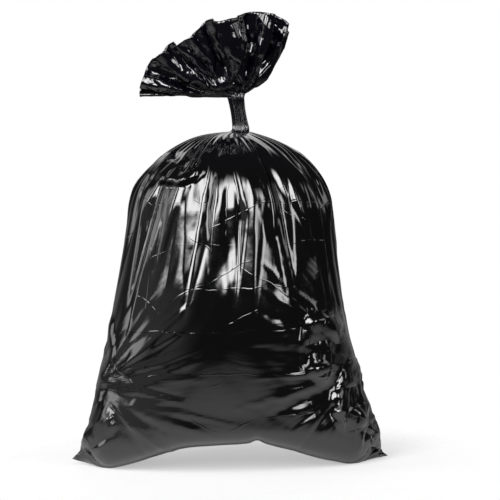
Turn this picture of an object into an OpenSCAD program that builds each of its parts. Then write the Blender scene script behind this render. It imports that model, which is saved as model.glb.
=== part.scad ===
// Filled refuse sack with its neck gathered in and its mouth fanned out above.
// One piece of film, so one closed solid: pillow-shaped body, pleated neck and
// a ruffled mouth that is open at the top like a funnel.
// X runs across the sack, Y from front to back, Z up. The floor is at Z = 0.

/* [Body] */
// Height from the floor to where the neck begins
body_h = 537; // [500:1:620]
// Width across the two filled bottom corners
base_w = 486; // [430:2:500]
// Width across the hips, at hip_h
hip_w = 437; // [380:1:440]
// Height of the hip station
hip_h = 106; // [95:1:130]
// Width at the middle, at middle_h
middle_w = 376; // [330:2:400]
// Height of the middle station
middle_h = 234; // [200:2:270]
// Width at the shoulder, at shoulder_h
shoulder_w = 325; // [260:1:350]
// Height where the shoulder starts to round over
shoulder_h = 400; // [380:1:420]
// Depth of the body at the height where the underside begins
base_d = 284; // [200:2:300]
// Depth of the body at its fullest, at middle_h
middle_d = 320; // [260:2:360]
// Depth of the body at the shoulder
shoulder_d = 284; // [220:2:320]
// How far the top of the body leans to the right
lean = 14; // [0:1:30]

/* [Underside] */
// Height at which the body turns under
turn_h = 75; // [60:1:85]
// Height of the arch between the two bottom corners
arch_h = 47; // [10:1:55]
// How far right of the middle the arch peaks
arch_x = 44; // [-60:1:60]
// Distance between the two patches that rest on the floor
rest_span = 400; // [360:2:410]
// Widest of the folds that fan out from the hips, from ridge to foot
fan_wide = 24; // [8:1:30]
// Reach of those folds
fan_reach = 230; // [120:5:260]
// Height of the left hip, where its folds start
fan_left_h = 130; // [110:1:180]
// Height of the right hip
fan_right_h = 165; // [110:1:180]
// How far the resting patches are pressed flat
rest_flat = 10; // [4:1:20]
// Width across the tips of the sealed corners
ear_span = 508; // [500:2:560]
// Height of the left corner's tip
ear_left_h = 13; // [6:1:20]
// Height of the right corner's tip
ear_right_h = 7; // [6:1:20]
// Thickness of the sealed seam
seam_t = 2; // [1:0.5:4]

/* [Neck] */
// Width of the gathered neck
neck_d = 23; // [16:1:40]
// Length of the neck, from the body to the mouth
neck_l = 48; // [30:1:70]
// How far right of the middle the neck starts
neck_x = 28; // [-10:1:40]
// How far the neck leans back to the left over its length
neck_lean = 7; // [0:1:15]
// Small pleats gathered round the neck
pleats = 24; // [16:2:28]

/* [Gathers] */
// Long folds that hang from the neck
gathers = 34; // [12:1:40]
// Widest of them, from ridge to foot
gather_wide = 30; // [10:1:36]
// Length of the longest
gather_long = 330; // [200:5:360]
// Length of the shortest
gather_short = 130; // [80:5:180]
// How far below the neck the lowest of them starts
gather_drop = 70; // [0:5:100]
// How far the folds spread towards the two sides over their length, in degrees
gather_spread_deg = 20; // [0:1:25]

/* [Mouth] */
// Reach of the mouth's rim across the sack
mouth_w = 226; // [160:2:260]
// Reach of the mouth's rim from front to back
mouth_d = 124; // [80:2:160]
// Height of the mouth above the neck, at its middle
mouth_h = 112; // [80:1:160]
// How far the rim's middle lies to the left of the neck
mouth_shift = 31; // [0:1:50]
// How much higher the rim is at the right than at the left
mouth_rise = 88; // [0:1:96]
// Height of the notches along the rim
notch_h = 5.5; // [0:0.5:8]
// How far the rim rises at the front and the back above its two ends
mouth_crown = 60; // [20:1:90]
// How far the left end of the rim droops
mouth_droop = 8; // [0:1:30]
// Large waves round the mouth, with smaller ones between them
ruffles = 7; // [5:1:9]
// Depth of the waves at the rim, from crest to trough
ruffle_depth = 26; // [8:1:34]
// Thickness of the gathered film at the mouth
film_t = 2; // [1.5:0.5:4]

/* [Hidden] */

columns = 120;
film_colour = [0.03, 0.03, 0.035];

// Share of base_w that is left where the side begins
side_start = 0.94;
// Superellipse exponents: how square the underside and the shoulder dome are
underside_square = 3;
dome_square = 2.28;
// Power on sin() that draws the section to a point at the two sides
pillow_point = 1.22;
round_section = 1;
// Height over which the pillow section becomes an oval one
pillow_fade_h = 200;
pleat_share_at_neck = 0.3;
ear_sharpness = 10;
// Height of a fold as a share of its half width
gather_steep = 0.3;
fan_steep = 0.2;
// Folds at each hip on each face, and the directions they spread in, from straight inwards
fans = 9;
// Where the fans start, as a share of half of base_w
fan_share = 0.93;
fan_from = -45;
fan_to = 60;
// Share of the path along the mouth at which the funnel's floor lies
funnel_floor = 0.16;

neck_top_z = body_h + neck_l;
neck_r = neck_d / 2;
dome_top_z = body_h - neck_r / 2;

underside_steps = 7;
side_steps = 11;
dome_steps = 9;
neck_steps = 4;
mouth_steps = 9;
lining_steps = 6;

function clamp01(t) = min(1, max(0, t));
function mix(a, b, t) = a + (b - a) * t;
function ease(t) = let (u = clamp01(t)) u * u * (3 - 2 * u);
function power_sin(a, p) = sign(sin(a)) * pow(abs(sin(a)), p);

// Smooth curve through a table of [position, value] stations
function slope(table, i) =
    let (a = max(0, i - 1), b = min(len(table) - 1, i + 1))
    (table[b][1] - table[a][1]) / (table[b][0] - table[a][0]);
function span_of(table, x, i = 0) =
    i >= len(table) - 2 || x < table[i + 1][0] ? i : span_of(table, x, i + 1);
function curve_through(table, x) =
    let (
        i = span_of(table, x),
        w = table[i + 1][0] - table[i][0],
        t = clamp01((x - table[i][0]) / w),
        m0 = slope(table, i) * w,
        m1 = slope(table, i + 1) * w
    )
    (2 * t * t * t - 3 * t * t + 1) * table[i][1]
    + (t * t * t - 2 * t * t + t) * m0
    + (3 * t * t - 2 * t * t * t) * table[i + 1][1]
    + (t * t * t - t * t) * m1;

// Half widths and half depths of the body, by height
widths = [
    [turn_h, base_w / 2 * side_start],
    [hip_h, hip_w / 2],
    [middle_h, middle_w / 2],
    [shoulder_h, shoulder_w / 2]
];
depths = [
    [turn_h, base_d / 2],
    [middle_h, middle_d / 2],
    [shoulder_h, shoulder_d / 2]
];
// Height of the underside's middle line, by place across the sack
rest_x = rest_span / 2;
patch = rest_x * 0.175;
peak = rest_x * 0.065;
underside = [
    [-rest_x - patch, 0],
    [-rest_x, -rest_flat],
    [-rest_x + patch, 0.085 * arch_h],
    [-rest_x * 0.615, 0.36 * arch_h],
    [-rest_x * 0.355, 0.72 * arch_h],
    [arch_x - 5 * peak, 0.82 * arch_h],
    [arch_x - peak, 0.88 * arch_h],
    [arch_x, arch_h],
    [arch_x + peak, 0.84 * arch_h],
    [rest_x * 0.475, 0.57 * arch_h],
    [rest_x * 0.665, 0.27 * arch_h],
    [rest_x - patch, 0.085 * arch_h],
    [rest_x, -rest_flat],
    [rest_x + patch, 0]
];

// Pleats of uneven width: 0 in a valley and 1 on a ridge
function uneven(t) = t + 5 * sin(3 * t + 25) + 2 * sin(7 * t + 140);
function ridge(t) = abs(sin(pleats / 2 * uneven(t)));

// Uneven numbers that are the same each time: a share of 1 for item k, or a swing from -1 to 1
function share(k, a) = k * a - floor(k * a);
function swing(k, a) = 2 * share(k, a) - 1;

// One straight fold, pointed at both ends: two flat faces that meet in a ridge. Height over the film
function fold(along, across, long, wide, steep, skew) =
    let (
        s = clamp01(along / long),
        w = wide * pow(min(s / 0.35, (1 - s) / 0.65), 0.8),
        c = across + w * skew,
        side = w * (c < 0 ? 1 - skew : 1 + skew)
    )
    w < 0.1 ? 0 : steep * w * clamp01(1 - abs(c) / side);

// Ridges stand over each other and valleys lie under each other
function laid_over(folds) =
    max([for (f = folds) f[1] ? f[0] : 0]) - max([for (f = folds) f[1] ? 0 : f[0]]);

// Long folds that hang from the neck, each with its own place, width and end
function gathered(t, z) =
    laid_over([for (k = [0:gathers - 1])
        let (
            at = (k + 0.4 * swing(k, 0.618)) * 360 / gathers,
            top = body_h - gather_drop * share(k, 0.7549),
            apart = gather_spread_deg * sin(2 * at) * max(0, top - z) / gather_long,
            off = (t - at + apart + 540) % 360 - 180,
            long = mix(gather_short, gather_long, share(k, 0.4503)),
            wide = gather_wide * mix(0.5, 1, share(k, 0.3247)),
            across = off * PI / 180 * shoulder_w / 2
        )
        [fold(top - z, across, long, wide, gather_steep, 0.7 * swing(k, 0.2721)), share(k, 0.5698) < 0.55]
    ]);

// Folds that spread inwards from the two hips; x is measured from the body's middle line
function hip_fans(x, z, face) =
    laid_over([for (side = [-1, 1], k = [0:fans - 1])
        let (
            i = k + (side > 0 ? 20 : 0) + (face > 0 ? 41 : 0),
            a = mix(fan_from, fan_to, (k + 0.5 + 0.4 * swing(i, 0.618)) / fans),
            inward = base_w / 2 * fan_share - side * x,
            rise = z - (side < 0 ? fan_left_h : fan_right_h),
            along = inward * cos(a) + rise * sin(a) - fan_reach * 0.12 * share(i, 0.7549),
            across = rise * cos(a) - inward * sin(a),
            long = fan_reach * mix(0.5, 1, share(i, 0.4503)),
            wide = fan_wide * mix(0.5, 1, share(i, 0.3247))
        )
        [fold(along, across, long, wide, fan_steep, 0.7 * swing(i, 0.2721)), share(i, 0.5698) < 0.6]
    ]);

// The body's middle line, as shares of the lean
leaning = [
    [0, 0.35],
    [turn_h, 0.25],
    [hip_h, 0.1],
    [middle_h, 0.1],
    [mix(middle_h, shoulder_h, 0.57), 0.4],
    [shoulder_h, 0.65],
    [body_h, 0.65]
];
function centre_x(z) = lean * curve_through(leaning, z);

// Underside: turn 0 is the seam, turn 90 is the height where the side begins
function underside_point(t, turn) =
    let (
        out = ear_span / 2 - base_w / 2,
        fullness = 1 - (1 - side_start) * pow(turn / 90, 1.5),
        half = base_w / 2 * fullness + out * pow(1 - turn / 90, ear_sharpness),
        x = half * cos(t) + centre_x(0) * turn / 90,
        end = pow(abs(cos(t)), ear_sharpness),
        tip = cos(t) < 0 ? ear_left_h : ear_right_h,
        low = curve_through(underside, x),
        z_mid = turn_h - (turn_h - low) * pow(cos(turn), 2 / underside_square),
        z_end = mix(tip, turn_h, turn / 90),
        y = (base_d / 2 - slope(depths, 0) * (turn_h - z_mid)) * power_sin(t, pillow_point)
            * pow(sin(turn), 2 / underside_square),
        z = mix(z_mid, z_end, end),
        fan = hip_fans(x - centre_x(z), z, sin(t)) * power_sin(t, 0.5) * sin(turn)
    )
    [x, y + fan + sign(sin(t)) * seam_t / 2 * cos(turn), z];

function side_point(t, z) =
    let (
        point = mix(pillow_point, round_section, ease((z - turn_h) / pillow_fade_h)),
        half = curve_through(widths, z),
        gather = gathered(t, z),
        x = (half + gather) * cos(t),
        y = (curve_through(depths, z) + gather) * power_sin(t, point)
    )
    [centre_x(z) + x, y + hip_fans(x, z, sin(t)) * power_sin(t, 0.5), z];

// Dome: rise 0 is the shoulder and 1 is the foot of the neck
function dome_point(t, rise) =
    let (
        up = pow(sin(90 * rise), 1.15),
        z = mix(shoulder_h, dome_top_z, up),
        round = sqrt(1 - pow(up, dome_square)),
        inward = ease((rise - 0.72) / 0.28),
        gather = gathered(t, z) * round,
        narrowed = 1 + pleat_share_at_neck * inward * (ridge(t) - 1),
        over = z - shoulder_h,
        wide = shoulder_w / 2 + slope(widths, len(widths) - 1) * over,
        deep = shoulder_d / 2 + slope(depths, len(depths) - 1) * over,
        rx = max(neck_r * 1.3, wide * round) + gather,
        ry = max(neck_r * 1.3, deep * round) + gather
    )
    [
        mix(centre_x(z), neck_x, inward * inward) + rx * narrowed * cos(t),
        ry * narrowed * sin(t),
        z
    ];

function neck_radius(t) = neck_r * (1 + pleat_share_at_neck * (ridge(t) - 1));
function neck_centre(rise) = neck_x - neck_lean * rise;
function neck_point(t, rise) =
    let (r = neck_radius(t) * (1 + 0.12 * pow(2 * rise - 1, 2)))
    [
        neck_centre(rise) + r * cos(t),
        r * sin(t),
        mix(body_h, neck_top_z, rise)
    ];

// Uneven rim, with a small folded tab at each of the angles listed
rim_tabs = [232, 268];
rim_tab_h = 9;
function rim_notches(t) =
    notch_h * (0.64 * sin(5 * t + 210) + 0.36 * sin(11 * t + 260))
    + rim_tab_h * max([for (a = rim_tabs) clamp01(2 - abs(t - a) / 3)]);

// Mouth: path 0 is the top of the neck and 1 is the rim
function rim_point(t) =
    [
        neck_centre(1) - mouth_shift + mouth_w / 2 * cos(t),
        mouth_d / 2 * sin(t),
        neck_top_z + mouth_h - mouth_crown
            + mouth_rise / 2 * cos(t)
            + mouth_crown * pow(abs(sin(t)), 0.7)
            - mouth_droop * pow(max(0, -cos(t)), 20)
            + rim_notches(t)
    ];
function mouth_sheet(t, path) =
    let (
        from = neck_point(t, 1),
        to = rim_point(t),
        side = abs(cos(t)),
        out = mix(0.15, cos(t) < 0 ? 0.6 : 0.42, side),
        bend = [out, out, 0.2],
        via = [for (k = [0:2]) from[k] + (to[k] - from[k]) * bend[k]]
    )
    (1 - path) * (1 - path) * from + 2 * path * (1 - path) * via + path * path * to;

function unit(v) = v / norm(v);
probe = 0.5;
function sheet_normal(t, path) =
    let (p = min(path, 0.98))
    unit(cross(
        mouth_sheet(t + probe, p) - mouth_sheet(t - probe, p),
        mouth_sheet(t, p + probe / 60) - mouth_sheet(t, p)
    ));
// Turn round the mouth, crowded in some places and loose in others
function loose(t) = t + 17 * sin(2 * t + 40) + 7 * sin(5 * t + 150);
function ruffle(t, path) =
    ruffle_depth / 2.6 * pow(path, 0.9)
    * (sin(ruffles * loose(t) + 57) + 0.5 * sin((ruffles + 5) * loose(t) + 115));
function mouth_point(t, path) =
    mouth_sheet(t, path) + ruffle(t, path) * sheet_normal(t, path);
function mouth_normal(t, path) =
    let (p = min(path, 0.98))
    unit(cross(
        mouth_point(t + probe, p) - mouth_point(t - probe, p),
        mouth_point(t, p + probe / 60) - mouth_point(t, p)
    ));
function lining_point(t, path) =
    mouth_point(t, path) - film_t * mouth_normal(t, path);

angles = [for (i = [0:columns - 1]) i * 360 / columns];
rings = concat(
    [for (j = [0:underside_steps - 1])
        [for (t = angles) underside_point(t, 90 * j / underside_steps)]],
    [for (j = [0:side_steps - 1])
        [for (t = angles) side_point(t, mix(turn_h, shoulder_h, j / side_steps))]],
    [for (j = [0:dome_steps - 1])
        [for (t = angles) dome_point(t, j / dome_steps)]],
    [for (j = [0:neck_steps - 1])
        [for (t = angles) neck_point(t, j / neck_steps)]],
    [for (j = [1:mouth_steps])
        [for (t = angles) mouth_point(t, j / mouth_steps)]],
    [for (j = [lining_steps:-1:0])
        [for (t = angles) lining_point(t, mix(funnel_floor, 1, j / lining_steps))]]
);

// Skin of triangles over the rings, zipped shut along the seam at the bottom
module skin(rings) {
    n = len(rings[0]);
    half = n / 2;
    top = len(rings) - 1;
    flat = [for (r = rings) each r];
    floor_centre = [for (k = [0:2]) mix(rings[top][0][k], rings[top][half][k], 0.5)];
    sides = [for (j = [0:top - 1], i = [0:n - 1])
        let (a = j * n + i, b = j * n + (i + 1) % n)
        each [[a, a + n, b], [b, a + n, b + n]]];
    seam = [for (i = [0:half - 1])
        let (a = i, b = i + 1, c = (n - i) % n, d = n - i - 1)
        each concat(
            b == d ? [] : [[a, b, d]],
            a == c ? [] : [[a, d, c]]
        )];
    cap = [for (i = [0:n - 1]) [top * n + i, len(flat), top * n + (i + 1) % n]];
    polyhedron(concat(flat, [floor_centre]), concat(sides, seam, cap), convexity = 10);
}

// Everything below the floor is cut away, which leaves the flat resting patches
module below_floor() {
    depth = 2 * rest_flat;
    translate([-ear_span, -middle_d, -depth]) cube([2 * ear_span, 2 * middle_d, depth]);
}

module bag() {
    color(film_colour)
        difference() {
            skin(rings);
            below_floor();
        }
}

bag();
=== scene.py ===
import math
import random

import bpy
import numpy as np
from mathutils import Matrix, Vector


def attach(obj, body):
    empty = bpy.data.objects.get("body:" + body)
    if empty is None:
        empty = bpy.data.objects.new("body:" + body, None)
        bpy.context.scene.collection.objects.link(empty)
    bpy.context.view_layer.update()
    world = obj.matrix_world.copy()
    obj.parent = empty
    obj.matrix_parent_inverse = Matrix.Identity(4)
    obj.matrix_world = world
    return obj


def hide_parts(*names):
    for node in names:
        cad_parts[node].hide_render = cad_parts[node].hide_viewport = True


# Soft boxes: azimuth of the middle in degrees right of the camera, half width,
# lowest and highest direction, and strength
WINDOWS = (
    (-76, 9, 0.20, 0.74, 5.0),
    (-36, 14, 0.20, 0.80, 9.4),
    (3, 13, 0.20, 0.82, 9.2),
    (48, 9, 0.04, 0.64, 5.2),
    (90, 9, 0.12, 0.60, 1.4),
    (-75, 45, -0.25, 0.25, 0.2),
    (-100, 14, -0.05, 0.60, 1.6),
    (180, 35, 0.30, 0.75, 1.4),
    (180, 50, -0.3, 0.3, 0.2),
)
# Light of the dim room itself
ROOM = 0.025
WHITE = (1, 1, 1, 1)
# Floor: radius in metres, colour, and the light that only the camera sees on it
FLOOR_R = 1.2
FLOOR_PALE = (0.92, 0.92, 0.92, 1)
FLOOR_LIFT = 0.16

# Film: colour of the body, a bluish black towards the neck and in the mouth that is a painted cool sheen,
# and how strongly it mirrors
BLACK = (0.002, 0.002, 0.0022, 1)
BLUE_BLACK_PAINTED_SHEEN = (0.0022, 0.002, 0.0045, 1)
FILM_IOR = 1.85
# Heights of the film's bumps in metres. The crumples are in metres already.
WRINKLE_RISE = 0.0006
SLACK_RISE = 0.0006
PACK_RISE = 0.00013
CRUMPLE_RISE = 1.0
# Where the fine wrinkles spread from: x and height of the two hips, in metres
HIPS = ((-0.232, 0.128), (0.236, 0.17))
# Creases of the pack: turn in degrees, pitch in metres of film, shift, and seed of where they show
CREASES = (
    (0, 0.066, 0.2, 51),
    (-24, 0.075, 0.55, 57),
    (28, 0.12, 0.3, 63),
    (90, 0.139, 0.4, 71),
)
CREASE_W = 0.0013

# Sizes in millimetres, the same as the solid's: heights of the body's stations
BODY_H = 537
TURN_H = 75
HIP_H = 106
MIDDLE_H = 234
SHOULDER_H = 400
# Widths and depths there
BASE_W = 486
HIP_W = 437
MIDDLE_W = 376
SHOULDER_W = 325
BASE_D = 284
MIDDLE_D = 320
SHOULDER_D = 284
# Section from above at the foot: 1 is an ellipse, more is pointed at the sides
POINTED = 1.22
# Side of the dome: 2 is round, more is fuller
DOMED = 2.28
# Sealed corners: width over the tips, and the tips' heights
EAR_SPAN = 508
EAR_LEFT = 13
EAR_RIGHT = 7
# Lean of the body, and the neck
LEAN = 14
NECK_X = 28
NECK_LEAN = 7
NECK_D = 23
NECK_L = 48
# Arch of the underside, and how far out the sack rests
ARCH_H = 47
ARCH_X = 44
REST = 200
# Mouth, its ruffles, and the notches and tabs of its rim
MOUTH_W = 226
MOUTH_D = 124
MOUTH_H = 112
MOUTH_SHIFT = 31
MOUTH_TILT = 88
MOUTH_CROWN = 60
MOUTH_DROOP = 8
RUFFLE = 26
NOTCH_H = 5.5
RIM_TABS = (232, 268)
RIM_TAB_H = 9
# Large gathers below the neck
GATHERS = 34
GATHER_DROP = 70
GATHER_SHORT = 130
GATHER_LONG = 330
GATHER_WIDE = 30
GATHER_STEEP = 0.3
GATHER_SPREAD = 20
# Large folds from the hips
FANS = 9
FAN_FROM = -45
FAN_TO = 60
FAN_X = 226
FAN_LEFT_H = 130
FAN_RIGHT_H = 165
FAN_REACH = 230
FAN_WIDE = 24
FAN_STEEP = 0.2

# The film's own lengths: round it, along the body and along the mouth
FILM_ROUND = 1136
FILM_BODY = 676
FILM_MOUTH = 150
# Gap between the mouth's outside and its lining
LINING_T = 0.8
# Cells of the coarsest grid: round the film, then along body, neck and mouth
CELLS = (80, 48, 3, 10)
# Steps of relaxing, from the coarsest grid to the finest
RELAX_STEPS = (500, 300, 150)
# What relaxes it: push outwards, hold near the guide in large and in small blocks, and
# stiffness against shear and bending
PRESS = 0.06
HOLD_BODY = 0.12
HOLD_MOUTH = 0.10
CLOSE = 0.25
SHEAR = 0.6
BEND = 0.05
# The contents keep the film outside this share of the body's half width
FULL = 0.93
# How much of the way back to the guide the film settles at last
SETTLE_BODY = 0.86
SETTLE_DOME = 0.88
SETTLE_LOW = 0.9
SETTLE_MOUTH = 0.5

# How many small folds there are
NECK_PLEATS = 42
SMALL_GATHERS = 36
MOUTH_FOLDS = 40
# Ranges that each is drawn from: where it starts, its length, width and steepness
SMALL_START = (540, 665)
SMALL_LONG = (110, 360)
SMALL_WIDE = (14, 32)
SMALL_STEEP = (0.10, 0.26)
SPREAD_START = (-20, 45)
SPREAD_SHARE = (0.35, 1)
SPREAD_WIDE = (7, 22)
SPREAD_STEEP = (0.10, 0.28)
LOOSE_START = (-25, 50)
LOOSE_LONG = (100, 200)
LOOSE_WIDE = (14, 38)
LOOSE_STEEP = (0.25, 0.55)
SKEW = (-0.8, 0.8)
# Fans of small folds: x and height of the middle, from and to angle, folds, reach,
# and front (1) or back (-1)
SMALL_FANS = (
    (-232, 128, -50, 60, 13, 250, 1),
    (222, 170, 120, 240, 15, 250, 1),
    (-225, 140, -40, 60, 14, 220, -1),
    (225, 130, 120, 230, 15, 220, -1),
)
CORNER_FANS = (
    (250, 30, 92, 152, 14, 250, 1),
    (-250, 30, 30, 88, 10, 220, 1),
)
# Crumpled patches: x and height of the middle, half width, half height, front or back, and depth
PATCHES = (
    (152, 200, 34, 56, 1, 1),
    (192, 110, 30, 50, 1, 1),
    (-200, 200, 22, 70, 1, 0.7),
    (-72, 472, 40, 24, 1, 0.6),
    (-150, 230, 60, 70, -1, 0.8),
    (110, 330, 70, 60, -1, 0.8),
    (190, 120, 50, 60, -1, 0.8),
)
CORNERS = (
    (222, 84, 34, 66, 1, 0.9),
    (-214, 66, 36, 50, 1, 0.7),
    (-216, 70, 44, 60, -1, 0.8),
    (206, 66, 44, 56, -1, 0.8),
)

# Height against half width, half depth and share of the lean
WIDTHS = np.array([
    [TURN_H, BASE_W * 0.47],
    [HIP_H, HIP_W / 2],
    [MIDDLE_H, MIDDLE_W / 2],
    [SHOULDER_H, SHOULDER_W / 2],
])
DEPTHS = np.array([
    [TURN_H, BASE_D / 2],
    [MIDDLE_H, MIDDLE_D / 2],
    [SHOULDER_H, SHOULDER_D / 2],
])
LEANING = np.array([
    [0, 0.35],
    [TURN_H, 0.25],
    [HIP_H, 0.1],
    [MIDDLE_H, 0.1],
    [MIDDLE_H + 95, 0.4],
    [SHOULDER_H, 0.65],
    [BODY_H, 0.65],
])
# Underside: x against height
UNDERSIDE = np.array([
    [-REST - 35, 0],
    [-REST, -6],
    [-REST + 35, 4],
    [-REST + 77, 0.36 * ARCH_H],
    [-REST + 129, 0.72 * ARCH_H],
    [ARCH_X - 64, 0.82 * ARCH_H],
    [ARCH_X - 13, 0.88 * ARCH_H],
    [ARCH_X, ARCH_H],
    [ARCH_X + 13, 0.84 * ARCH_H],
    [REST - 105, 0.57 * ARCH_H],
    [REST - 67, 0.27 * ARCH_H],
    [REST - 35, 4],
    [REST, -6],
    [REST + 35, 0],
])
# Kinds of rows in the guide
IN_BODY = 0
IN_NECK = 1
IN_MOUTH = 2


def ease(t):
    """Smooth step from 0 to 1."""
    t = np.clip(t, 0, 1)
    return t * t * (3 - 2 * t)


def mix(a, b, t):
    """The value at share t of the way from a to b."""
    return a + (b - a) * t


def slopes(table):
    """Slope of a table's curve at each station."""
    x, y = table.T
    i = np.arange(len(x))
    a, b = np.maximum(i - 1, 0), np.minimum(i + 1, len(x) - 1)
    return (y[b] - y[a]) / (x[b] - x[a])


def curve(table, x):
    """Smooth curve through a table of stations."""
    x = np.asarray(x, float)
    px, py = table.T
    m = slopes(table)
    i = np.clip(np.searchsorted(px, x, side="right") - 1, 0, len(px) - 2)
    w = px[i + 1] - px[i]
    t = np.clip((x - px[i]) / w, 0, 1)
    return ((2 * t**3 - 3 * t**2 + 1) * py[i] + (t**3 - 2 * t**2 + t) * m[i] * w
            + (3 * t**2 - 2 * t**3) * py[i + 1] + (t**3 - t**2) * m[i + 1] * w)


def spow(s, p):
    """Power that keeps the sign."""
    return np.sign(s) * np.abs(s) ** p


def share(k, a):
    """Always the same share of 1 for item k."""
    return (k * a) % 1


def swing(k, a):
    """Always the same value from -1 to 1 for item k."""
    return 2 * share(k, a) - 1


def fold(along, across, length, wide, steep, skew):
    """One straight fold, pointed at both ends: two flat faces that meet in a sharp ridge."""
    t = np.clip(along / length, 0, 1)
    w = wide * np.minimum(t / 0.35, (1 - t) / 0.65) ** 0.8
    c = across + w * skew
    side = w * np.where(c < 0, 1 - skew, 1 + skew)
    return steep * w * np.clip(1 - np.abs(c) / np.maximum(side, 1e-6), 0, 1) * (w > 0.1)


def laid_over(folds):
    """Ridges stand over each other and valleys lie under each other."""
    out = [f for f, up in folds if up]
    into = [f for f, up in folds if not up]
    return np.max(out, axis=0) - np.max(into, axis=0)


def gathers(turn, z):
    """Long folds that hang from the neck. Turn is in degrees."""
    folds = []
    for k in range(GATHERS):
        at = (k + 0.4 * swing(k, 0.618)) * 360 / GATHERS
        top = BODY_H - GATHER_DROP * share(k, 0.7549)
        apart = GATHER_SPREAD * np.sin(np.radians(2 * at)) * np.maximum(0, top - z) / GATHER_LONG
        off = (turn - at + apart + 540) % 360 - 180
        across = np.radians(off) * SHOULDER_W / 2
        long_ = mix(GATHER_SHORT, GATHER_LONG, share(k, 0.4503))
        wide = GATHER_WIDE * mix(0.5, 1, share(k, 0.3247))
        shape = fold(top - z, across, long_, wide, GATHER_STEEP, 0.7 * swing(k, 0.2721))
        folds.append((shape, share(k, 0.5698) < 0.55))
    return laid_over(folds)


def hip_fans(x, z, face):
    """Folds that spread inwards from the two hips. x is measured from the middle line."""
    folds = []
    for side in (-1, 1):
        for k in range(FANS):
            i = k + (20 if side > 0 else 0) + (41 if face > 0 else 0)
            a = np.radians(mix(FAN_FROM, FAN_TO, (k + 0.5 + 0.4 * swing(i, 0.618)) / FANS))
            inward = FAN_X - side * x
            rise = z - (FAN_LEFT_H if side < 0 else FAN_RIGHT_H)
            along = inward * np.cos(a) + rise * np.sin(a) - FAN_REACH * 0.12 * share(i, 0.7549)
            across = rise * np.cos(a) - inward * np.sin(a)
            reach = FAN_REACH * mix(0.5, 1, share(i, 0.4503))
            wide = FAN_WIDE * mix(0.5, 1, share(i, 0.3247))
            shape = fold(along, across, reach, wide, FAN_STEEP, 0.7 * swing(i, 0.2721))
            folds.append((shape, share(i, 0.5698) < 0.6))
    return laid_over(folds)


def ruffle(turn, path):
    """How far the mouth's waves stand out, at a share of the way to the rim."""
    loose = turn + 17 * np.sin(np.radians(2 * turn + 40)) + 7 * np.sin(np.radians(5 * turn + 150))
    waves = np.sin(np.radians(7 * loose + 57)) + 0.5 * np.sin(np.radians(12 * loose + 115))
    return RUFFLE / 2 * path ** 0.9 * waves / 1.3


def uneven(turn):
    """Turns in degrees with uneven steps between them."""
    return turn + 5 * np.sin(np.radians(3 * turn + 25)) + 2 * np.sin(np.radians(7 * turn + 140))


def rim_notches(turn):
    """Rise of the rim in its notches and its two tabs."""
    tabs = np.max([np.clip(2 - np.abs(turn - a) / 3, 0, 1) for a in RIM_TABS], axis=0)
    waves = 0.64 * np.sin(np.radians(5 * turn + 210)) + 0.36 * np.sin(np.radians(11 * turn + 260))
    return NOTCH_H * waves + RIM_TAB_H * tabs


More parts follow.
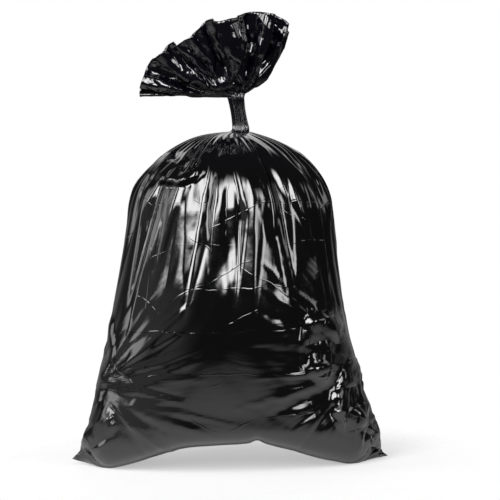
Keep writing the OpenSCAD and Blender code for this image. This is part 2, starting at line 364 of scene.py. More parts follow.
def guide_rows():
    """The folded body as rows of points round it, from the seam to the rim, and each row's kind."""
    t = np.linspace(0, 2 * np.pi, 721)[:-1]
    turns = np.degrees(t)
    c, s = np.cos(t), np.sin(t)
    rows, kind = [], []

    def fans(off, z):
        """The hip folds of each point's own face."""
        return np.where(s < 0, hip_fans(off, z, -1), hip_fans(off, z, 1))

    for turn in np.linspace(0, 90, 24, endpoint=False):
        f = turn / 90
        half = BASE_W / 2 * (1 - 0.06 * f**1.5) + (EAR_SPAN - BASE_W) / 2 * (1 - f) ** 10
        x = half * c + LEAN * 0.35 * f
        end = np.abs(c) ** 10
        tip = np.where(c < 0, EAR_LEFT, EAR_RIGHT)
        low = curve(UNDERSIDE, x)
        ct, st = np.cos(np.radians(turn)), np.sin(np.radians(turn))
        z_mid = TURN_H - (TURN_H - low) * ct ** (2 / 3)
        z = mix(z_mid, mix(tip, TURN_H, f), end)
        y = (BASE_D / 2 - slopes(DEPTHS)[0] * (TURN_H - z_mid)) * spow(s, POINTED) * st ** (2 / 3)
        y = y + fans(x - LEAN * curve(LEANING, z), z) * spow(s, 0.5) * st
        rows.append(np.stack([x, y, z], 1))
        kind.append(IN_BODY)
    for z in np.linspace(TURN_H, SHOULDER_H, 50, endpoint=False):
        p = mix(POINTED, 1, ease((z - TURN_H) / 200))
        g = gathers(turns, z)
        off = (curve(WIDTHS, z) + g) * c
        x = LEAN * curve(LEANING, z) + off
        y = (curve(DEPTHS, z) + g) * spow(s, p) + fans(off, z) * spow(s, 0.5)
        rows.append(np.stack([x, y, np.full_like(x, z)], 1))
        kind.append(IN_BODY)
    top = BODY_H - NECK_D / 4
    for rise in np.linspace(0, 1, 40, endpoint=False):
        up = np.sin(np.pi / 2 * rise) ** 1.15
        z = mix(SHOULDER_H, top, up)
        rnd = np.sqrt(1 - up**DOMED)
        over = z - SHOULDER_H
        inward = ease((rise - 0.72) / 0.28)
        rx = max(NECK_D * 0.65, (SHOULDER_W / 2 + slopes(WIDTHS)[-1] * over) * rnd)
        ry = max(NECK_D * 0.65, (SHOULDER_D / 2 + slopes(DEPTHS)[-1] * over) * rnd)
        cx = mix(LEAN * curve(LEANING, z), NECK_X, inward**2)
        g = gathers(turns, z) * rnd
        rows.append(np.stack([cx + (rx + g) * c, (ry + g) * s, np.full_like(c, z)], 1))
        kind.append(IN_BODY)
    for rise in np.linspace(0, 1, 12, endpoint=False):
        r = NECK_D / 2 * (1 + 0.12 * (2 * rise - 1) ** 2)
        cx = NECK_X - NECK_LEAN * rise
        rows.append(np.stack([cx + r * c, r * s, np.full_like(c, BODY_H + NECK_L * rise)], 1))
        kind.append(IN_NECK)
    neck_end = NECK_X - NECK_LEAN
    neck_top = BODY_H + NECK_L
    neck_r = NECK_D / 2 * 1.12
    base = np.stack([neck_end + neck_r * c, neck_r * s, np.full_like(c, neck_top)], 1)
    rim_z = neck_top + MOUTH_H - MOUTH_CROWN + MOUTH_TILT / 2 * c + MOUTH_CROWN * np.abs(s) ** 0.7
    rim_z = rim_z - MOUTH_DROOP * np.maximum(0, -c) ** 20 + rim_notches(turns)
    rim = np.stack([neck_end - MOUTH_SHIFT + MOUTH_W / 2 * c, MOUTH_D / 2 * s, rim_z], 1)
    side = np.abs(c)
    out = mix(0.15, np.where(c < 0, 0.6, 0.42), side)
    bend = np.stack([out, out, np.full_like(out, 0.2)], 1)
    via = base + (rim - base) * bend
    paths = np.linspace(0, 1, 40)
    sheet = np.array([(1 - p) ** 2 * base + 2 * p * (1 - p) * via + p * p * rim for p in paths])
    sheet = sheet + normals(sheet) * np.array([ruffle(turns, p) for p in paths])[..., None]
    rows.extend(sheet)
    kind.extend([IN_MOUTH] * len(paths))
    return np.array(rows), np.array(kind)


def even_columns(row, n):
    """The row's points spaced evenly along it, front and back halves apart."""
    h = len(row) // 2
    out = []
    for half in (row[: h + 1], np.vstack([row[h:], row[:1]])):
        d = np.r_[0, np.cumsum(np.linalg.norm(np.diff(half, axis=0), axis=1))]
        if d[-1] < 1e-6:
            d = np.linspace(0, 1, len(half))
        q = np.linspace(0, d[-1], n // 2 + 1)[:-1]
        out.append(np.stack([np.interp(q, d, half[:, k]) for k in range(3)], 1))
    return np.vstack(out)


def guide_grid(n, m_body, m_neck, m_mouth):
    """The guide on the film's own grid."""
    rows, kind = guide_rows()
    g = np.array([even_columns(r, n) for r in rows])
    out = []
    for what, m in ((IN_BODY, m_body), (IN_NECK, m_neck), (IN_MOUTH, m_mouth)):
        idx = np.where(kind == what)[0]
        last = min(idx[-1] + 1, len(g) - 1)
        seg = g[idx[0] : last + 1]
        d = np.r_[0, np.cumsum(np.linalg.norm(np.diff(seg, axis=0), axis=2).mean(axis=1))]
        q = np.linspace(0, d[-1], m + 1)
        if what != IN_MOUTH:
            q = q[:-1]
        i = np.clip(np.searchsorted(d, q, side="right") - 1, 0, len(d) - 2)
        f = ((q - d[i]) / (d[i + 1] - d[i]))[:, None, None]
        out.append(seg[i] * (1 - f) + seg[i + 1] * f)
    return np.concatenate(out)


def noise(shape, cells, rng):
    """Smooth random field over the grid, periodic round it."""
    m, n = shape
    a, b = max(2, int(cells[0])), max(2, int(cells[1]))
    v = rng.standard_normal((a + 3, b))
    y = np.linspace(0, a, m)
    x = np.linspace(0, b, n, endpoint=False)
    yi, xi = y.astype(int), x.astype(int)
    fy, fx = ease(y - yi)[:, None], ease(x - xi)[None, :]

    def corner(p, q):
        """The random values p rows and q columns on from each cell."""
        return v[(yi + p)[:, None], ((xi + q) % b)[None, :]]

    left = corner(0, 0) * (1 - fy) + corner(1, 0) * fy
    right = corner(0, 1) * (1 - fy) + corner(1, 1) * fy
    return left * (1 - fx) + right * fx


def normals(X):
    """Unit normals of a grid that closes round its columns."""
    a = np.roll(X, -1, 1) - np.roll(X, 1, 1)
    b = np.empty_like(X)
    b[1:-1] = X[2:] - X[:-2]
    b[0] = X[1] - X[0]
    b[-1] = X[-1] - X[-2]
    n = np.cross(a, b)
    return n / np.maximum(np.linalg.norm(n, axis=2, keepdims=True), 1e-9)


def pull(A, B, rest, k, wa, wb, push_only=False):
    """Moves the two ends of each thread towards its rest length, in place."""
    d = B - A
    l = np.sqrt(np.einsum("...k,...k", d, d)) + 1e-6
    e = (l - rest) / l
    if push_only:
        e = np.minimum(e, 0)
    e = (e * k / np.maximum(wa + wb, 1e-6))[..., None] * d
    A += e * wa[..., None]
    B -= e * wb[..., None]


def blocks(D, bm, bn):
    """Low-pass of a field over the grid: means of blocks, joined smoothly."""
    m, n, k = D.shape
    M = max(2, m // bm)
    edges = np.linspace(0, m, M + 1).astype(int)
    R = np.add.reduceat(D, edges[:-1], axis=0) / np.diff(edges)[:, None, None]
    C = R.reshape(M, n // bn, bn, k).mean(2)
    cy = (edges[:-1] + edges[1:] - 1) / 2
    y = np.interp(np.arange(m), cy, np.arange(M))
    yi = np.minimum(y.astype(int), M - 2)
    fy = (y - yi)[:, None, None]
    C = C[yi] * (1 - fy) + C[yi + 1] * fy
    x = (np.arange(n) - (bn - 1) / 2) / bn
    xi = np.floor(x).astype(int)
    fx = (x - xi)[None, :, None]
    nb = n // bn
    return C[:, xi % nb] * (1 - fx) + C[:, (xi + 1) % nb] * fx


def relax(X, du, ds, W, steps, press, guide, hold, close, keep, bm, bn):
    """Pushes the film outwards, holds it near the guide and keeps every thread at its length."""
    m, n, _ = X.shape
    diag = np.sqrt(du[:-1] ** 2 + ds**2)
    # every pass works on whole rows or columns, so the threads of one pass share no point
    for it in range(steps):
        X += normals(X) * (press * W)[..., None]
        if it % 4 == 0:
            X += blocks(guide - X, bm, bn) * (hold * W)[..., None]
            X += blocks(guide - X, bm // 2, bn // 2) * (close * W)[..., None]
        # round the film
        for c in (0, 1):
            ia = np.arange(c, n, 2)
            ib = (ia + 1) % n
            A, B = X[:, ia], X[:, ib]
            pull(A, B, du[:, ia], 1.0, W[:, ia], W[:, ib])
            X[:, ia], X[:, ib] = A, B
        # along the film
        for c in (0, 1):
            ja = np.arange(c, m - 1, 2)
            A, B = X[ja], X[ja + 1]
            pull(A, B, ds[ja], 1.0, W[ja], W[ja + 1])
            X[ja], X[ja + 1] = A, B
        # across the film, both ways
        for sgn in (1, -1):
            ir = (np.arange(n) + sgn) % n
            for c in (0, 1):
                ja = np.arange(c, m - 1, 2)
                A, B = X[ja], X[ja + 1][:, ir]
                pull(A, B, diag[ja], SHEAR, W[ja], W[ja + 1][:, ir])
                X[ja] = A
                T = X[ja + 1]
                T[:, ir] = B
                X[ja + 1] = T
        # stiffness
        for c in (0, 1):
            ia = np.where(np.arange(n) % 4 // 2 == c)[0]
            ib = (ia + 2) % n
            A, B = X[:, ia], X[:, ib]
            pull(A, B, du[:, ia] * 1.99, BEND, W[:, ia], W[:, ib], True)
            X[:, ia], X[:, ib] = A, B
            ja = np.where((np.arange(m - 2) % 4 // 2) == c)[0]
            A, B = X[ja], X[ja + 2]
            pull(A, B, (ds[ja] + ds[np.minimum(ja + 1, m - 2)]) * 0.995, BEND, W[ja], W[ja + 2], True)
            X[ja], X[ja + 2] = A, B
        keep(X)
    return X


def facets(P, count, pitch, steep, rng):
    """Straight folds in a few directions that cut a surface into flat pieces."""
    out = 0
    for _ in range(count):
        a = rng.uniform(0, np.pi)
        lift = rng.uniform(-0.5, 0.5)
        long_ = rng.uniform(*pitch)
        along = P @ np.array([np.cos(a), lift, np.sin(a)]) / long_ + rng.random()
        out = out + rng.uniform(*steep) * long_ * (np.abs(along % 1 - 0.5) - 0.25)
    return out


def crease_film(X, parts, seed=21):
    """Folds the relaxed film sharply: gathers, fans from the hips, crumpled patches and the mouth."""
    mb, mn, mm = parts
    m, n, _ = X.shape
    rng = np.random.default_rng(seed)
    draw = rng.uniform
    # evens out what is finer than the grid can show
    for _ in range(3):
        B = X[1:mb]
        around = (np.roll(B, 1, 1) + np.roll(B, -1, 1)) / 2
        X[1:mb - 1] += 0.5 * (around[:-1] - B[:-1])
    # the contents press the lower film tight, apart from its corners
    G = guide_grid(n, mb, mn, mm)
    low = ease((240 - X[..., 2]) / 110) * ease((225 - np.abs(X[..., 0] - LEAN)) / 50)
    high = ease((X[..., 2] - 440) / 60)
    row = np.arange(m)[:, None]
    body = row < mb
    settle = mix(mix(SETTLE_BODY, SETTLE_DOME, high), SETTLE_LOW, low)
    settle = np.where(body, settle, SETTLE_MOUTH)
    foot = ease((row / mb * FILM_BODY - 560) / 70) * body
    settle = mix(settle, 1, foot)
    X[:mb] += blocks((G - X)[:mb] * high[:mb, :, None], 8, 16)
    X += (G - X) * settle[..., None]
    v = np.broadcast_to(np.minimum(row / mb, 1) * FILM_BODY, (m, n))
    up = np.clip((row - mb - mn) / mm, 0, 1) * FILM_MOUTH
    u = np.broadcast_to(np.arange(n) / n * FILM_ROUND, (m, n))
    front = np.where(np.arange(n) >= n / 2, 1.0, 0.0)[None, :]
    px, pz = X[..., 0], X[..., 2]
    sway = 2.5 * noise((m, n), (6, 14), rng)
    # folds shrink where the film is drawn together
    girth = np.linalg.norm(np.roll(X, -1, 1) - X, axis=2).sum(1)[:, None]
    drawn = np.minimum(girth / np.where(body, 1400, 850), 1)
    ridges, valleys = np.zeros((m, n)), np.zeros((m, n))

    def wrapped(x):
        """The short way round the film."""
        return (x + FILM_ROUND / 2) % FILM_ROUND - FILM_ROUND / 2

    def add(shape, where):
        """Lays a fold over the ridges, or under the valleys."""
        into = ridges if rng.random() < 0.55 else valleys
        np.maximum(into, shape * where, out=into)

    # small gathers that hang from the neck between the large ones
    for k in range(SMALL_GATHERS):
        top = draw(*SMALL_START)
        long_ = draw(*SMALL_LONG)
        wide = draw(*SMALL_WIDE) * (0.5 + long_ / 500)
        at = (k + draw(-0.5, 0.5)) * FILM_ROUND / SMALL_GATHERS
        drift = draw(-0.06, 0.06) + 0.19 * np.sin(4 * np.pi * at / FILM_ROUND)
        across = wrapped(u + sway - at) + drift * (top - v)
        steep = draw(*SMALL_STEEP)
        skew = draw(*SKEW)
        add(fold(top - v, across, long_, wide, steep, skew), body)

    def fan(side, high, a0, a1, count, reach, where):
        """Small folds that spread from one point of the front or the back."""
        part = body * (front if where > 0 else 1 - front)
        for k in range(count):
            a = np.radians(mix(a0, a1, (k + draw(0.1, 0.9)) / count))
            dx = px + sway - side - LEAN
            dz = pz + sway - high
            along = dx * np.cos(a) + dz * np.sin(a) - draw(*SPREAD_START)
            across = dz * np.cos(a) - dx * np.sin(a)
            long_ = reach * draw(*SPREAD_SHARE)
            wide = draw(*SPREAD_WIDE)
            steep = draw(*SPREAD_STEEP)
            skew = draw(*SKEW)
            add(fold(along, across, long_, wide, steep, skew), part)

    # folds that fan out from the hips
    for one in SMALL_FANS:
        fan(*one)
    # crumpled patches
    bent = X + 5 * np.stack([noise((m, n), (14, 20), rng) for _ in range(3)], 2)

    def crumpled(patches, pitch):
        """Flat-sided crumples inside the patches."""
        total = np.zeros((m, n))
        for x0, z0, wide, tall, where, deep in patches:
            away = np.sqrt(((px - x0) / wide) ** 2 + ((pz - z0) / tall) ** 2)
            part = body * (front if where > 0 else 1 - front) * ease((1.25 - away) / 0.5)
            total += part * facets(bent, 3, pitch, (0.07 * deep, 0.15 * deep), rng)
        return total

    crumples = crumpled(PATCHES, (44, 86))
    # the loose mouth: folds that spread from the neck, then short ones in every direction
    loose = up > 0
    for k in range(MOUTH_FOLDS):
        start = draw(*LOOSE_START)
        at = (k + draw(-0.5, 0.5)) * FILM_ROUND / MOUTH_FOLDS
        across = wrapped(u + sway - at)
        long_ = draw(*LOOSE_LONG)
        wide = draw(*LOOSE_WIDE)
        steep = draw(*LOOSE_STEEP)
        skew = draw(*SKEW)
        add(fold(up - start, across, long_, wide, steep, skew), loose)
    crumples += ease((up - 25) / 70) * facets(bent, 3, (60, 110), (0.06, 0.14), rng)
    # the sealed corners
    crumples += crumpled(CORNERS, (50, 90))
    for one in CORNER_FANS:
        fan(*one)
    # pleats that run into the neck
    around = 360 * np.arange(n)[None, :] / n
    pleat = -0.5 * np.cos(np.radians(NECK_PLEATS * uneven(around)))
    depth = 0.2 * np.minimum(girth, 850) / NECK_PLEATS * (1 + 0.5 * noise((m, n), (8, 30), rng))
    pleated = pleat * depth * ease((v - 520) / 80) * body
    X = X + normals(X) * (drawn * (ridges - valleys) + crumples + pleated)[..., None]
    X[:mb, :, 2] = np.maximum(X[:mb, :, 2], 0)
    X[0, :, 1] = 0
    return X


def film_grid(seed=7):
    """The film relaxed round its contents. Returns the grid and its rows: body, neck, mouth."""
    rng = np.random.default_rng(seed)
    X = None
    for lev, steps in enumerate(RELAX_STEPS):
        f = 2**lev
        n, mb, mn, mm = [cells * f for cells in CELLS]
        G = guide_grid(n, mb, mn, mm)
        m = len(G)
        row = np.arange(m)
        body = row < mb
        neck = (row >= mb) & (row <= mb + mn)
        mouth = row >= mb + mn
        s = row / mb
        up = np.clip((row - mb - mn) / mm, 0, 1)
        around = np.arange(n) / n * 2 * np.pi
        loose = around + 0.16 * np.sin(3 * around + 0.4)
        loose = loose + 0.09 * np.sin(5 * around + 2.1) + 0.05 * np.sin(11 * around + 1)
        # the neck is a bundle of small pleats
        ridge = np.abs(np.sin(17 * loose))
        nk = G[neck]
        centre = nk.mean(1, keepdims=True)
        G[neck] = centre + (nk - centre) * (1 + 0.3 * (ridge[None, :, None] - 0.6))
        # the film's own lengths, less what is tucked away inside the gathers
        per = np.linalg.norm(np.roll(G, -1, 1) - G, axis=2).sum(1)
        room = np.where(mouth, mix(1.1, 1.75, ease(up * 1.5)), mix(1.7, 1.2, ease((s - 0.8) / 0.2)))
        length = np.minimum(FILM_ROUND, per * room)
        length[0] = FILM_ROUND
        du = np.repeat((length / n)[:, None], n, 1)
        above = np.where(row[:-1] < mb + mn, NECK_L / mn, FILM_MOUTH / mm)
        ds_row = np.where(row[:-1] < mb, FILM_BODY / mb, above)
        ds = np.repeat(ds_row[:, None], n, 1).astype(float)
        uneven_film = noise((m, n), (24, 30), np.random.default_rng(seed + 5))
        uneven_film = uneven_film * np.where(mouth, 0.06, 0.008)[:, None]
        du = du * (1 + uneven_film)
        ds = ds * (1 + np.roll(uneven_film, n // 3, 1)[:-1])
        W = np.ones((m, n))
        W[neck] = 0
        if X is None:
            X = G.copy()
            nv = normals(G)
            ripple = noise((m, n), (m / 3, n / 3), rng) * np.where(mouth, 3.5, 1.0)[:, None]
            X += nv * ripple[..., None]
        else:
            P = X
            src = np.interp(row, [0, mb, mb + mn, m - 1], [0, mb / 2, (mb + mn) / 2, len(P) - 1])
            i = np.clip(src.astype(int), 0, len(P) - 2)
            fr = (src - i)[:, None, None]
            Q = P[i] * (1 - fr) + P[i + 1] * fr
            X = np.empty((m, n, 3))
            X[:, ::2] = Q
            X[:, 1::2] = (Q + np.roll(Q, -1, 1)) / 2
            nv = normals(X)
            ripple = noise((m, n), (m / 3, n / 3), rng) * np.where(mouth, 4.0, 0.3)[:, None]
            X += nv * ripple[..., None] / f
            ripple = noise((m, n), (m / (10 * f), n / 3), rng) * (body * ease((s - 0.3) / 0.3))[:, None]
            X += nv * ripple[..., None]
        X[neck] = G[neck]
        zs = np.arange(1000)
        cx = LEAN * curve(LEANING, np.clip(zs, 0, BODY_H))
        hw = curve(WIDTHS, np.clip(zs, TURN_H, SHOULDER_H))
        hd = curve(DEPTHS, np.clip(zs, TURN_H, SHOULDER_H))

        def keep(X):
            """Keeps the seam straight, the film off the floor and the contents, and the neck still."""
            a = X[0]
            mid = (a + a[(-np.arange(n)) % n]) / 2
            mid[:, 1] *= 0
            X[0] = mid
            B = X[:mb]
            B[..., 2] = np.maximum(B[..., 2], 0)
            z = B[..., 2]
            zi = np.clip(z, TURN_H, SHOULDER_H).astype(int)
            dx = B[..., 0] - cx[zi]
            r = np.sqrt((dx / hw[zi]) ** 2 + (B[..., 1] / hd[zi]) ** 2)
            inside = (r < FULL) & (z > TURN_H) & (z < SHOULDER_H)
            k = np.where(inside, FULL / np.maximum(r, 0.2), 1)
            B[..., 0] = cx[zi] + dx * k
            B[..., 1] *= k
            X[neck] = G[neck]

        press = np.where(body, PRESS / f, 0.0)[:, None] * np.ones((m, n))
        hold = np.where(body, HOLD_BODY, HOLD_MOUTH)[:, None] * np.ones((m, n))
        close = (body * CLOSE * ease((0.62 - s) / 0.2))[:, None] * np.ones((m, n))
        X = relax(X, du, ds, W, steps, press, G, hold, close, keep, 6 * f, 8 * f)
    return X, (mb, mn, mm)


def film_mesh(X, parts):
    """Closes the grid into one skin: its halves meet along the bottom seam, and the mouth is lined."""
    mb, mn, mm = parts
    n = X.shape[1]
    nv = normals(X)
    first = mb + mn + max(2, mm // 6)
    lining = X[first:][::-1] - nv[first:][::-1] * LINING_T
    # the outside and the lining are one strip of rows that turns over at the rim
    P = np.concatenate([X, lining])
    rows = len(P)
    ids = np.arange(rows * n).reshape(rows, n)
    ids[0] = np.minimum(ids[0], ids[0][(-np.arange(n)) % n])
    verts = P.reshape(-1, 3)
    cap_id = len(verts)
    verts = np.vstack([verts, P[-1].mean(0)])
    a, b = ids[:-1], np.roll(ids[:-1], -1, 1)
    c, d = np.roll(ids[1:], -1, 1), ids[1:]
    quads = np.stack([a, b, c, d], -1).reshape(-1, 4)
    cap = np.stack([ids[-1], np.roll(ids[-1], -1), np.full(n, cap_id)], -1)
    along = np.r_[np.arange(mb) * FILM_BODY / mb, FILM_BODY + np.arange(mn) * NECK_L / mn,
                  FILM_BODY + NECK_L + np.arange(mm + 1) * FILM_MOUTH / mm]
    along = np.r_[along, along[first:][::-1]] / 1000
    across = np.arange(n + 1) / n * FILM_ROUND / 1000
    u0 = np.broadcast_to(across[None, :-1], (rows - 1, n))
    u1 = np.broadcast_to(across[None, 1:], (rows - 1, n))
    v0 = np.broadcast_to(along[:-1, None], (rows - 1, n))
    v1 = np.broadcast_to(along[1:, None], (rows - 1, n))
    corners = ((u0, v0), (u1, v0), (u1, v1), (u0, v1))
    uv = np.stack([np.stack(corner, -1) for corner in corners], 2)
    uv_cap = np.zeros((n, 3, 2))
    uv_cap[:, 0, 0] = across[:-1]
    uv_cap[:, 1, 0] = across[1:]
    uv_cap[:, 2, 0] = across[:-1]
    uv_cap[..., 1] = along[-1]
    used = np.unique(np.r_[quads.ravel(), cap.ravel()])
    renum = np.full(len(verts), -1)
    renum[used] = np.arange(len(used))
    up = np.r_[np.zeros(mb), np.zeros(mn), np.linspace(0, 1, mm + 1)]
    up = np.r_[up, up[first:][::-1]]
    crinkle = np.repeat(up, n)
    crinkle = np.r_[crinkle, 0.2]
    me = bpy.data.meshes.new("bag_film")
    faces = [tuple(f) for f in renum[quads].tolist()] + [tuple(f) for f in renum[cap].tolist()]
    me.from_pydata((verts[used] / 1000).tolist(), [], faces)
    layer = me.uv_layers.new(name="film")
    flat = np.concatenate([uv.reshape(-1, 2), uv_cap.reshape(-1, 2)])
    layer.data.foreach_set("uv", flat.ravel())
    attr = me.attributes.new("mouth", "FLOAT", "POINT")
    attr.data.foreach_set("value", crinkle[used].astype(np.float32))
    me.polygons.foreach_set("use_smooth", np.ones(len(faces), bool))
    me.validate()
    me.update()
    ob = bpy.data.objects.new("bag_film", me)
    bpy.context.collection.objects.link(ob)
    return ob


class Nodes:
    """Short names for building a node tree."""

    def __init__(self, tree):
        self.t = tree
        tree.nodes.clear()

    def new(self, kind, inputs=(), **attrs):
        """A node with its properties set, and each input linked or given its value."""
        node = self.t.nodes.new(kind)
        for k, v in attrs.items():
            setattr(node, k, v)
        for k, v in dict(inputs).items():
            if isinstance(v, bpy.types.NodeSocket):
                self.t.links.new(v, node.inputs[k])
            else:
                node.inputs[k].default_value = v
        return node

    def math(self, op, a, b=0.0, c=0.0):
        return self.new("ShaderNodeMath", {0: a, 1: b, 2: c}, operation=op).outputs[0]

    def vector(self, op, a, b, c=(0, 0, 0)):
        return self.new("ShaderNodeVectorMath", {0: a, 1: b, 2: c}, operation=op).outputs[0]

    def noise(self, place, detail, rough):
        inputs = {"Vector": place, "Scale": 1.0, "Detail": detail, "Roughness": rough}
        return self.new("ShaderNodeTexNoise", inputs).outputs[0]

    def ramp(self, v, a, b, lo=0.0, hi=1.0):
        """Smooth step from lo to hi as v goes from a to b."""
        inputs = {"Value": v, "From Min": a, "From Max": b, "To Min": lo, "To Max": hi}
        return self.new("ShaderNodeMapRange", inputs, interpolation_type="SMOOTHSTEP").outputs[0]


def film_material():
    """Glossy black film with its finest wrinkles, pack creases and sharp crumples, and a painted bluish
    sheen towards the neck and in the mouth.
    """
    mat = bpy.data.materials.new("black_film")
    mat.use_nodes = True
    t = Nodes(mat.node_tree)
    uv = t.new("ShaderNodeUVMap", uv_map="film").outputs[0]
    mouth = t.new("ShaderNodeAttribute", attribute_name="mouth").outputs["Fac"]
    sep = t.new("ShaderNodeSeparateXYZ", {0: uv})
    u, v = sep.outputs[0], sep.outputs[1]
    here = t.new("ShaderNodeTexCoord").outputs["Object"]
    place = t.new("ShaderNodeSeparateXYZ", {0: here})

    def stretched(scale_u, scale_v, detail, rough, seed):
        """Noise over the film with its own scale each way."""
        vec = t.vector("MULTIPLY", uv, (scale_u, scale_v, 1))
        vec = t.vector("ADD", vec, (seed, seed * 0.7, seed * 1.3))
        return t.noise(vec, detail, rough)

    def ridges(value):
        """Sharp where the value crosses its middle."""
        return t.math("ABSOLUTE", t.math("SUBTRACT", value, 0.5))

    # fine marks end below the neck, where the film is drawn together
    below = t.ramp(v, 0.48, 0.57, 1.0, 0.0)
    # long fine wrinkles that run down from the gathers
    finest = t.math("MULTIPLY", ridges(stretched(150, 12, 2, 0.5, 7)), 0.2)
    fine = t.math("ADD", ridges(stretched(42, 4, 1, 0.5, 3)), finest)
    wrinkle = t.math("MULTIPLY", fine, t.math("MULTIPLY", t.ramp(v, 0.30, 0.50), below))
    # fine wrinkles that spread from the two hips
    for side, high in HIPS:
        dx = t.math("SUBTRACT", place.outputs[0], side)
        dz = t.math("SUBTRACT", place.outputs[2], high)
        angle = t.math("ARCTAN2", dz, t.math("MULTIPLY", dx, -1.0 if side > 0 else 1.0))
        reach = t.math("SQRT", t.math("ADD", t.math("MULTIPLY", dx, dx), t.math("MULTIPLY", dz, dz)))
        turn = t.math("MULTIPLY_ADD", stretched(9, 9, 1, 0.5, 61), 3.0, t.math("MULTIPLY", angle, 10.0))
        vec = t.new("ShaderNodeCombineXYZ", {0: turn, 1: t.math("MULTIPLY", reach, 6.0), 2: side * 10})
        spread = ridges(t.noise(vec.outputs[0], 2.0, 0.5))
        spread = t.math("MULTIPLY", spread, t.ramp(reach, 0.08, 0.32, 1.2, 0.0))
        wrinkle = t.math("ADD", wrinkle, t.math("MULTIPLY", spread, t.ramp(reach, 0.0, 0.05)))
    # soft unevenness of the whole film
    slack = t.math("MULTIPLY", stretched(14, 9, 4, 0.55, 11), t.ramp(v, 0.46, 0.56, 1.0, 0.0))
    # thin creases from when the bag lay folded in its pack, worn away in places
    wander = stretched(20, 20, 2, 0.5, 23)

    def folds(turn, pitch, shift, seed):
        """Thin straight creases at an even pitch, shown in places."""
        a = math.radians(turn)
        across = t.math("ADD", t.math("MULTIPLY", u, math.sin(a)), t.math("MULTIPLY", v, math.cos(a)))
        across = t.math("ADD", across, t.math("MULTIPLY", t.math("SUBTRACT", wander, 0.5), 0.02))
        saw = t.math("FRACT", t.math("ADD", t.math("DIVIDE", across, pitch), shift))
        off = t.math("MULTIPLY", ridges(saw), pitch)
        line = t.ramp(off, 0.0, CREASE_W, 1.0, 0.0)
        return t.math("MULTIPLY", line, t.ramp(stretched(11, 11, 1, 0.5, seed), 0.48, 0.6))

    pack = 0.0
    for turn, pitch, shift, seed in CREASES:
        pack = t.math("ADD", pack, folds(turn, pitch, shift, seed))
    pack = t.math("MULTIPLY", pack, t.math("MAXIMUM", below, t.ramp(v, 0.74, 0.80)))
    # flat-sided crumples of the loose mouth and of the patches
    shaken = t.new("ShaderNodeTexNoise", {"Vector": here, "Scale": 14.0, "Detail": 1.0}).outputs["Color"]
    shaken = t.vector("MULTIPLY_ADD", shaken, (0.02, 0.02, 0.02), here)

    def flat_sides(count, pitch, steep, seed):
        """Height in metres of straight folds in a few directions."""
        draw = random.Random(seed).uniform
        high = 0.0
        for _ in range(count):
            a = draw(0, math.pi)
            lift = draw(-0.6, 0.6)
            size = draw(*pitch)
            way = (math.cos(a) / size, lift / size, math.sin(a) / size)
            along = t.new("ShaderNodeVectorMath", {0: shaken, 1: way}, operation="DOT_PRODUCT")
            saw = t.math("FRACT", t.math("ADD", along.outputs["Value"], draw(5, 6)))
            high = t.math("MULTIPLY_ADD", ridges(saw), size * draw(*steep), high)
        return high

    def patch(x0, z0, wide, tall, face, deep):
        """Depth of the crumples inside one patch, and 0 outside it."""
        dx = t.math("DIVIDE", t.math("SUBTRACT", place.outputs[0], x0 / 1000), wide / 1000)
        dz = t.math("DIVIDE", t.math("SUBTRACT", place.outputs[2], z0 / 1000), tall / 1000)
        away = t.math("SQRT", t.math("ADD", t.math("MULTIPLY", dx, dx), t.math("MULTIPLY", dz, dz)))
        side = t.math("LESS_THAN", t.math("MULTIPLY", place.outputs[1], face), 0.0)
        return t.math("MULTIPLY", side, t.ramp(away, 0.6, 1.25, deep, 0.0))

    where = 0.0
    for one in PATCHES + CORNERS:
        where = t.math("ADD", where, patch(*one))
    patched = flat_sides(3, (0.034, 0.078), (0.13, 0.27), 5)
    crumple = t.math("MULTIPLY", patched, t.math("MINIMUM", where, 1.0))
    lively = t.ramp(stretched(12, 14, 1, 0.5, 71), 0.38, 0.58, 0.35, 1.0)
    busy = t.math("MULTIPLY", t.ramp(mouth, 0.05, 0.6), lively)
    crumple = t.math("MULTIPLY_ADD", flat_sides(6, (0.020, 0.055), (0.06, 0.14), 8), busy, crumple)
    # each bump lies on the one before
    inputs = {"Strength": 1.0}
    for high, rise in (
        (wrinkle, WRINKLE_RISE),
        (slack, SLACK_RISE),
        (pack, PACK_RISE),
        (crumple, CRUMPLE_RISE),
    ):
        inputs["Height"] = high
        inputs["Distance"] = rise
        inputs["Normal"] = t.new("ShaderNodeBump", inputs).outputs[0]
    # the top of the dome, the neck and the mouth turn from black to a bluish black: painted cool sheen,
    # not a colour of the film
    black_and_painted_sheen = t.new("ShaderNodeMix", {"Factor": t.ramp(v, 0.5, 0.68)}, data_type="RGBA")
    # Mix has one pair of inputs for each kind of data, and these two are its colours
    black_and_painted_sheen.inputs[6].default_value = BLACK
    black_and_painted_sheen.inputs[7].default_value = BLUE_BLACK_PAINTED_SHEEN
    rough = t.ramp(stretched(30, 30, 3, 0.6, 41), 0.3, 0.7, 0.05, 0.10)
    look = {"Base Color": black_and_painted_sheen.outputs[2], "Roughness": rough, "Normal": inputs["Normal"], "IOR": FILM_IOR}
    bsdf = t.new("ShaderNodeBsdfPrincipled", look)
    t.new("ShaderNodeOutputMaterial", {"Surface": bsdf.outputs[0]})
    return mat


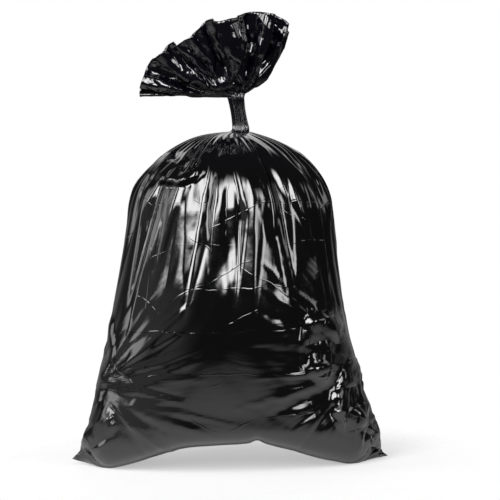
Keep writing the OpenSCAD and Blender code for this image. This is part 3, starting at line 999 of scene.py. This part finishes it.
def floor_material():
    """Pale floor that fades out round the bag, so that the white backdrop and the room show beyond it."""
    mat = bpy.data.materials.new("floor")
    mat.use_nodes = True
    t = Nodes(mat.node_tree)
    place = t.new("ShaderNodeTexCoord").outputs["Object"]
    far = t.new("ShaderNodeVectorMath", {0: place}, operation="LENGTH").outputs["Value"]
    seen = t.new("ShaderNodeLightPath").outputs["Is Camera Ray"]
    pale = t.new("ShaderNodeBsdfDiffuse", {"Color": FLOOR_PALE})
    lift = t.new("ShaderNodeEmission", {"Strength": t.math("MULTIPLY", seen, FLOOR_LIFT)})
    pale = t.new("ShaderNodeAddShader", {0: pale.outputs[0], 1: lift.outputs[0]})
    gone = t.new("ShaderNodeBsdfTransparent")
    fade = t.ramp(far, 0.08, 0.80)
    fade = t.math("MAXIMUM", fade, t.math("MULTIPLY", seen, t.ramp(far, 0.24, 0.46, 0.35, 1.0)))
    mix_ = t.new("ShaderNodeMixShader", {0: fade, 1: pale.outputs[0], 2: gone.outputs[0]})
    t.new("ShaderNodeOutputMaterial", {"Surface": mix_.outputs[0]})
    return mat


def studio():
    """Soft boxes in a dim room. The camera sees plain white instead."""
    world = bpy.data.worlds.new("studio")
    bpy.context.scene.world = world
    world.use_nodes = True
    t = Nodes(world.node_tree)
    d = t.new("ShaderNodeSeparateXYZ", {0: t.new("ShaderNodeTexCoord").outputs["Generated"]})
    x, y, z = d.outputs
    azimuth = t.math("ARCTAN2", x, t.math("MULTIPLY", y, -1.0))

    def window(middle, half, low, high):
        """A soft box, brightest in its middle and fading to its sides."""
        off = t.math("WRAP", t.math("SUBTRACT", azimuth, math.radians(middle)), math.pi, -math.pi)
        off = t.math("ABSOLUTE", off)
        across = t.ramp(off, math.radians(half) * 0.35, math.radians(half) * 1.25, 1.0, 0.0)
        foot = t.ramp(z, low - 0.03, low + 0.06)
        head = t.ramp(z, high - 0.15, high + 0.06, 1.0, 0.0)
        up = t.math("MULTIPLY", foot, head)
        return t.math("MULTIPLY", across, up)

    total = ROOM
    for middle, half, low, high, strength in WINDOWS:
        total = t.math("ADD", total, t.math("MULTIPLY", window(middle, half, low, high), strength))
    seen = t.new("ShaderNodeLightPath").outputs["Is Camera Ray"]
    room = t.new("ShaderNodeBackground", {"Color": WHITE, "Strength": total})
    plain = t.new("ShaderNodeBackground", {"Color": WHITE, "Strength": 1.0})
    both = t.new("ShaderNodeMixShader", {0: seen, 1: room.outputs[0], 2: plain.outputs[0]})
    t.new("ShaderNodeOutputWorld", {"Surface": both.outputs[0]})


def photo_camera():
    """The photograph's own view: square frame, 0.8 m across at the bag, turned 1.14 degrees."""
    aim = Vector((0.0388, 0, 0.3414))
    away = 2.6
    half_seen = 0.4
    rise = math.radians(2.5)
    roll = math.radians(1.137)
    cam = bpy.data.cameras.new("camera")
    ob = bpy.data.objects.new("camera", cam)
    bpy.context.collection.objects.link(ob)
    ob.location = aim + away * Vector((0, -math.cos(rise), math.sin(rise)))
    fwd = (aim - ob.location).normalized()
    up = Vector((math.sin(roll), 0, math.cos(roll)))
    right = fwd.cross(up).normalized()
    up = right.cross(fwd).normalized()
    ob.rotation_mode = "QUATERNION"
    ob.rotation_quaternion = Matrix((right, up, -fwd)).transposed().to_quaternion()
    cam.sensor_width = 36
    cam.lens = 18 / (half_seen / away)
    cam.clip_start = 0.05
    cam.clip_end = 60
    bpy.context.scene.camera = ob


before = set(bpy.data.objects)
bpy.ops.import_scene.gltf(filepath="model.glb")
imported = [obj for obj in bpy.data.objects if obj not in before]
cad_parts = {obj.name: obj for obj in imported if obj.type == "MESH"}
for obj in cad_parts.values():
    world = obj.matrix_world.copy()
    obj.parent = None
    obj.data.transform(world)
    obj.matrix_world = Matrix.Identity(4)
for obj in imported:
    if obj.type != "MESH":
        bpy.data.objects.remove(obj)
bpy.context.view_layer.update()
X, parts = film_grid()
X = crease_film(X, parts)
film = film_mesh(X, parts)
film.data.materials.append(film_material())
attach(film, "root")
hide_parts("bag")

bpy.ops.mesh.primitive_circle_add(vertices=96, radius=FLOOR_R, fill_type="NGON", location=(0, 0, 0))
floor = bpy.context.object
floor.name = "floor"
floor.data.materials.append(floor_material())

studio()
photo_camera()
scene = bpy.context.scene
scene.view_settings.view_transform = "Standard"
